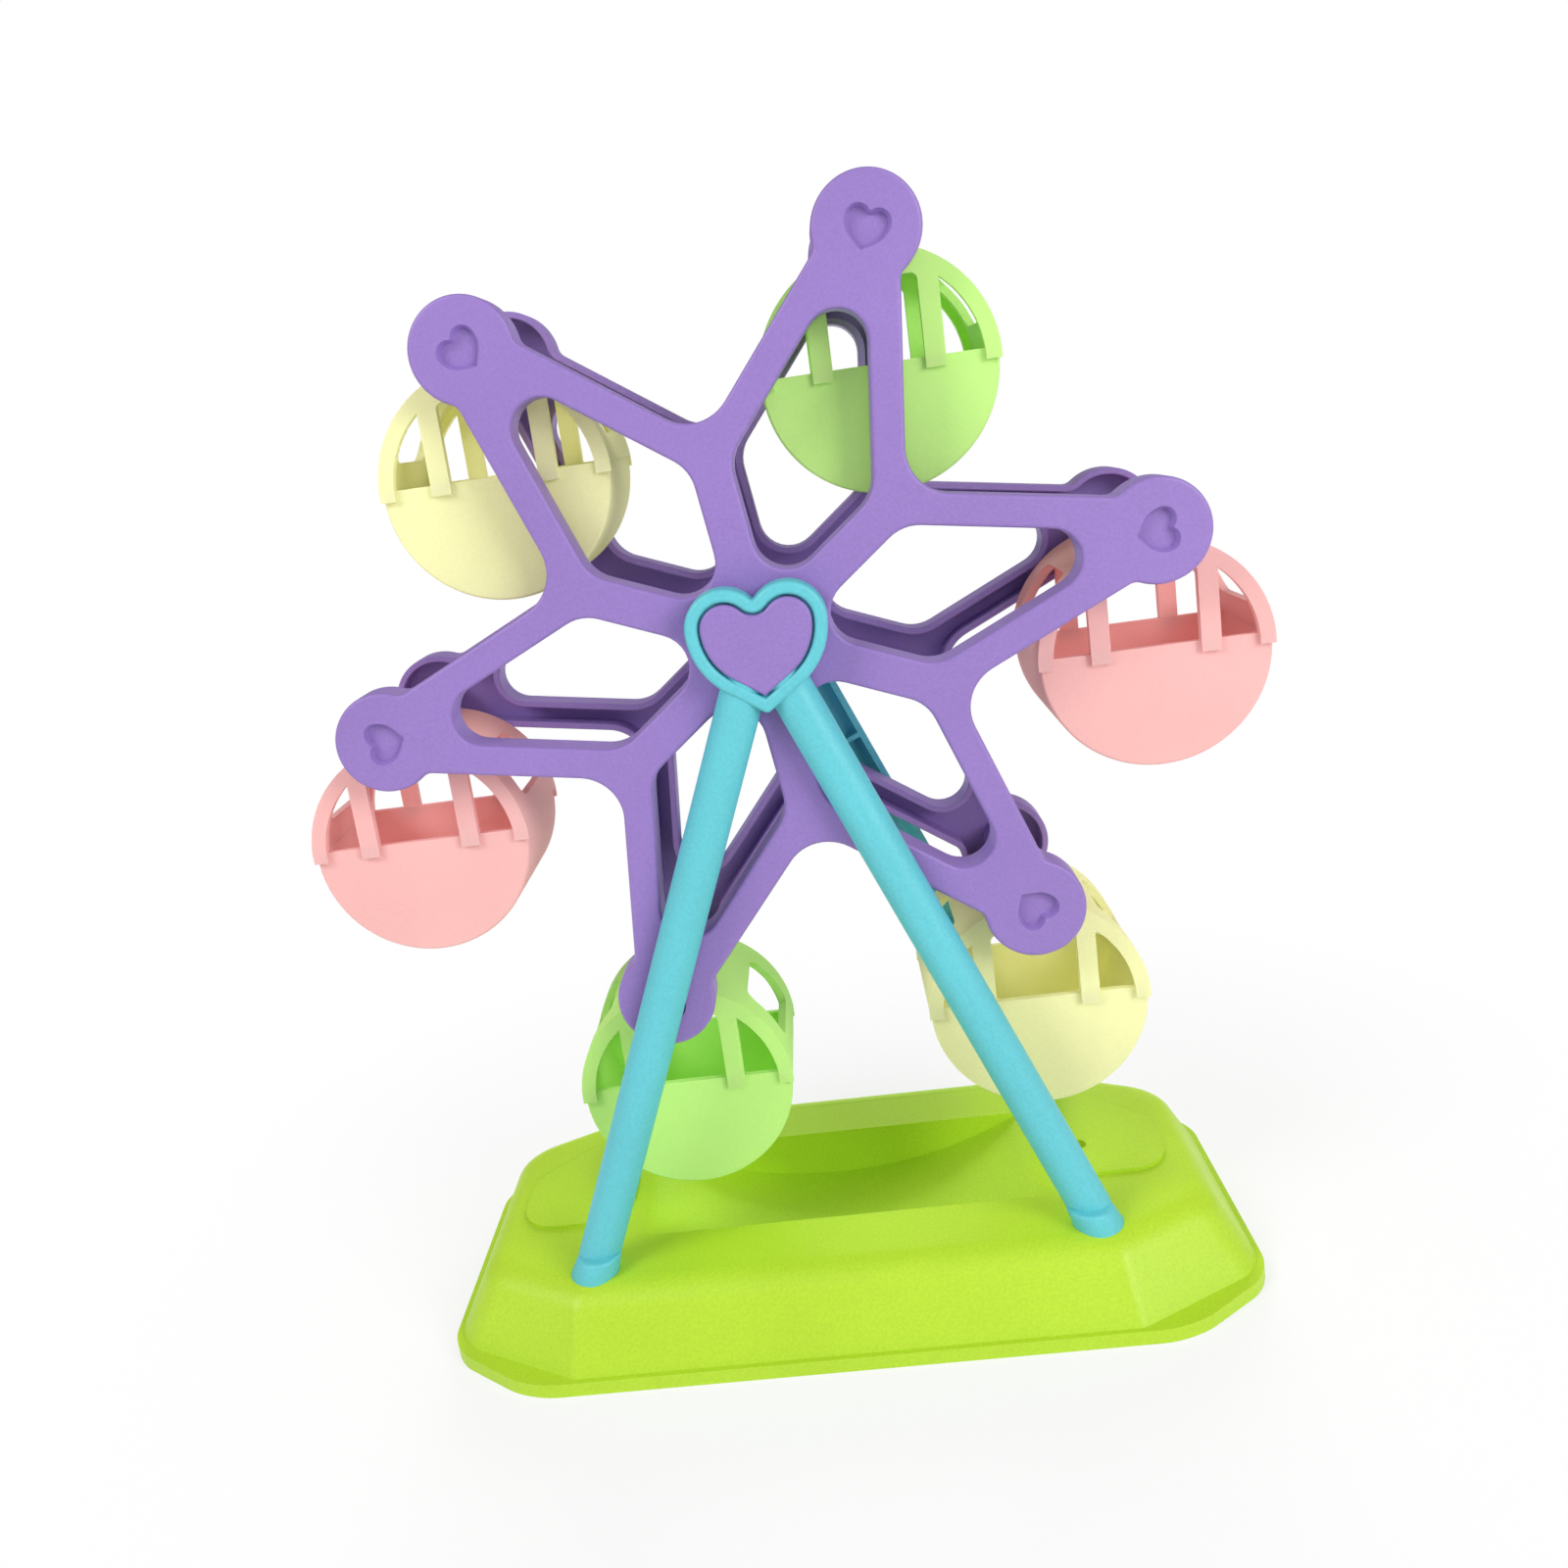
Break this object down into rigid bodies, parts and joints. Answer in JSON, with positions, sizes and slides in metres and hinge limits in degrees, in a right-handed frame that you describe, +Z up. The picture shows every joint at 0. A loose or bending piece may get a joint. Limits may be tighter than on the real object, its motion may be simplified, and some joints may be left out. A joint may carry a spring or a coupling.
{
  "type": "crank ferris wheel toy",
  "caption": "Toy ferris wheel on a low oblong base: flat star wheels carry round hanging gondolas between them, on an A-frame stand, and a small crank at the rear turns them.",
  "frame": {"origin": "middle of the flat face the base stands on", "axes": "+Z up, -Y the front with the heart cap, +X to the right seen from the front, wheel axle along Y"},
  "size_m": [0.2268, 0.1138, 0.2611],
  "materials": {
    "base_lime": "satin",
    "frame_teal": "satin",
    "star_purple": "satin",
    "gondola_green": "satin",
    "gondola_pink": "satin",
    "gondola_yellow": "satin",
    "steel": "brushed"
  },
  "bodies": {
    "stand": {"base_shell": "base_lime", "front_frame": "frame_teal", "rear_frame": "frame_teal", "front_heart_cap": "star_purple"},
    "wheel": {"front_star": "star_purple", "rear_star": "star_purple", "wheel_axle": "steel", "hub_spacer": "star_purple", "crank_arm": "star_purple", "crank_screw": "steel", "knob_pin": "steel", "hanger_pin_1": "steel", "hanger_pin_2": "steel", "hanger_pin_3": "steel", "hanger_pin_4": "steel", "hanger_pin_5": "steel", "hanger_pin_6": "steel"},
    "knob": {"crank_knob": "base_lime"},
    "gondola_1": {"gondola_tub_1": "gondola_green", "gondola_cage_1": "gondola_green"},
    "gondola_2": {"gondola_tub_2": "gondola_pink", "gondola_cage_2": "gondola_pink"},
    "gondola_3": {"gondola_tub_3": "gondola_yellow", "gondola_cage_3": "gondola_yellow"},
    "gondola_4": {"gondola_tub_4": "gondola_green", "gondola_cage_4": "gondola_green"},
    "gondola_5": {"gondola_tub_5": "gondola_pink", "gondola_cage_5": "gondola_pink"},
    "gondola_6": {"gondola_tub_6": "gondola_yellow", "gondola_cage_6": "gondola_yellow"}
  },
  "joints": [
    {"name": "wheel_spin", "type": "hinge", "parent": "stand", "child": "wheel", "pos_m": [0, 0, 0.1681], "axis": [0, 1, 0], "continuous": true},
    {"name": "knob_spin", "type": "hinge", "parent": "wheel", "child": "knob", "pos_m": [0, 0.0529, 0.1421], "axis": [0, 1, 0], "continuous": true},
    {"name": "gondola_1_swing", "type": "hinge", "parent": "wheel", "child": "gondola_1", "pos_m": [0.03325, 0, 0.24958], "axis": [0, 1, 0], "continuous": true},
    {"name": "gondola_2_swing", "type": "hinge", "parent": "wheel", "child": "gondola_2", "pos_m": [0.08719, 0, 0.18004], "axis": [0, 1, 0], "continuous": true},
    {"name": "gondola_3_swing", "type": "hinge", "parent": "wheel", "child": "gondola_3", "pos_m": [0.05394, 0, 0.09857], "axis": [0, 1, 0], "continuous": true},
    {"name": "gondola_4_swing", "type": "hinge", "parent": "wheel", "child": "gondola_4", "pos_m": [-0.03325, 0, 0.08662], "axis": [0, 1, 0], "continuous": true},
    {"name": "gondola_5_swing", "type": "hinge", "parent": "wheel", "child": "gondola_5", "pos_m": [-0.08719, 0, 0.15616], "axis": [0, 1, 0], "continuous": true},
    {"name": "gondola_6_swing", "type": "hinge", "parent": "wheel", "child": "gondola_6", "pos_m": [-0.05394, 0, 0.23763], "axis": [0, 1, 0], "continuous": true}
  ],
  "couplings": [
    {"joint": "gondola_1_swing", "follows": "wheel_spin", "ratio": -1},
    {"joint": "gondola_2_swing", "follows": "wheel_spin", "ratio": -1},
    {"joint": "gondola_3_swing", "follows": "wheel_spin", "ratio": -1},
    {"joint": "gondola_4_swing", "follows": "wheel_spin", "ratio": -1},
    {"joint": "gondola_5_swing", "follows": "wheel_spin", "ratio": -1},
    {"joint": "gondola_6_swing", "follows": "wheel_spin", "ratio": -1}
  ]
}
